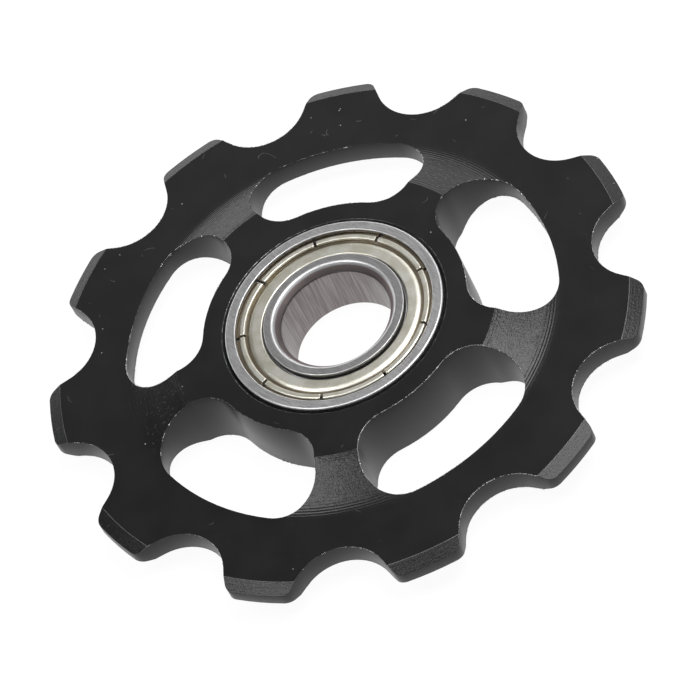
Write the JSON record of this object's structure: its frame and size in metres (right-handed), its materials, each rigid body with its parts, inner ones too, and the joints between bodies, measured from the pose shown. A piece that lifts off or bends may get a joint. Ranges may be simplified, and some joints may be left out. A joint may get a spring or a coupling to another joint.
{
  "type": "bicycle sprocket",
  "caption": "Derailleur jockey wheel: toothed aluminium pulley with a sloping spoked web and a shielded ball bearing pressed into its hub.",
  "frame": {"origin": "middle of the bearing's bore, half way through the bearing's width", "axes": "+Z along the axle, and a tooth gap points along -Y"},
  "size_m": [0.0436, 0.0432, 0.005],
  "materials": {
    "black_anodised": "black anodised, satin, with turning marks on the slope",
    "ring_steel": "ground",
    "shield_steel": "satin, faintly yellow plating",
    "cage_steel": "bright pressed sheet",
    "ball_steel": "polished"
  },
  "bodies": {
    "inner_ring": {"bearing_inner_ring": "ring_steel"},
    "wheel": {"toothed_wheel": "black_anodised", "bearing_outer_ring": "ring_steel", "front_shield": "shield_steel", "rear_shield": "shield_steel"},
    "cage": {"cage_front_half": "cage_steel", "cage_rear_half": "cage_steel", "cage_rivets": "cage_steel"},
    "rolling_ball_01": {"ball_01": "ball_steel"},
    "rolling_ball_02": {"ball_02": "ball_steel"},
    "rolling_ball_03": {"ball_03": "ball_steel"},
    "rolling_ball_04": {"ball_04": "ball_steel"},
    "rolling_ball_05": {"ball_05": "ball_steel"},
    "rolling_ball_06": {"ball_06": "ball_steel"},
    "rolling_ball_07": {"ball_07": "ball_steel"},
    "rolling_ball_08": {"ball_08": "ball_steel"},
    "rolling_ball_09": {"ball_09": "ball_steel"},
    "rolling_ball_10": {"ball_10": "ball_steel"}
  },
  "joints": [
    {"name": "wheel_spin", "type": "hinge", "parent": "inner_ring", "child": "wheel", "pos_m": [0, 0, 0], "axis": [0, 0, 1], "continuous": true},
    {"name": "cage_spin", "type": "hinge", "parent": "inner_ring", "child": "cage", "pos_m": [0, 0, 0], "axis": [0, 0, 1], "continuous": true},
    {"name": "ball_01_spin", "type": "hinge", "parent": "cage", "child": "rolling_ball_01", "pos_m": [0.006, 0, 0], "axis": [0, 0, 1], "continuous": true},
    {"name": "ball_02_spin", "type": "hinge", "parent": "cage", "child": "rolling_ball_02", "pos_m": [0.00485, 0.00353, 0], "axis": [0, 0, 1], "continuous": true},
    {"name": "ball_03_spin", "type": "hinge", "parent": "cage", "child": "rolling_ball_03", "pos_m": [0.00185, 0.00571, 0], "axis": [0, 0, 1], "continuous": true},
    {"name": "ball_04_spin", "type": "hinge", "parent": "cage", "child": "rolling_ball_04", "pos_m": [-0.00185, 0.00571, 0], "axis": [0, 0, 1], "continuous": true},
    {"name": "ball_05_spin", "type": "hinge", "parent": "cage", "child": "rolling_ball_05", "pos_m": [-0.00485, 0.00353, 0], "axis": [0, 0, 1], "continuous": true},
    {"name": "ball_06_spin", "type": "hinge", "parent": "cage", "child": "rolling_ball_06", "pos_m": [-0.006, 0, 0], "axis": [0, 0, 1], "continuous": true},
    {"name": "ball_07_spin", "type": "hinge", "parent": "cage", "child": "rolling_ball_07", "pos_m": [-0.00485, -0.00353, 0], "axis": [0, 0, 1], "continuous": true},
    {"name": "ball_08_spin", "type": "hinge", "parent": "cage", "child": "rolling_ball_08", "pos_m": [-0.00185, -0.00571, 0], "axis": [0, 0, 1], "continuous": true},
    {"name": "ball_09_spin", "type": "hinge", "parent": "cage", "child": "rolling_ball_09", "pos_m": [0.00185, -0.00571, 0], "axis": [0, 0, 1], "continuous": true},
    {"name": "ball_10_spin", "type": "hinge", "parent": "cage", "child": "rolling_ball_10", "pos_m": [0.00485, -0.00353, 0], "axis": [0, 0, 1], "continuous": true}
  ],
  "couplings": [
    {"joint": "cage_spin", "follows": "wheel_spin", "ratio": 0.58333},
    {"joint": "ball_01_spin", "follows": "wheel_spin", "ratio": 2.9167},
    {"joint": "ball_02_spin", "follows": "wheel_spin", "ratio": 2.9167},
    {"joint": "ball_03_spin", "follows": "wheel_spin", "ratio": 2.9167},
    {"joint": "ball_04_spin", "follows": "wheel_spin", "ratio": 2.9167},
    {"joint": "ball_05_spin", "follows": "wheel_spin", "ratio": 2.9167},
    {"joint": "ball_06_spin", "follows": "wheel_spin", "ratio": 2.9167},
    {"joint": "ball_07_spin", "follows": "wheel_spin", "ratio": 2.9167},
    {"joint": "ball_08_spin", "follows": "wheel_spin", "ratio": 2.9167},
    {"joint": "ball_09_spin", "follows": "wheel_spin", "ratio": 2.9167},
    {"joint": "ball_10_spin", "follows": "wheel_spin", "ratio": 2.9167}
  ]
}
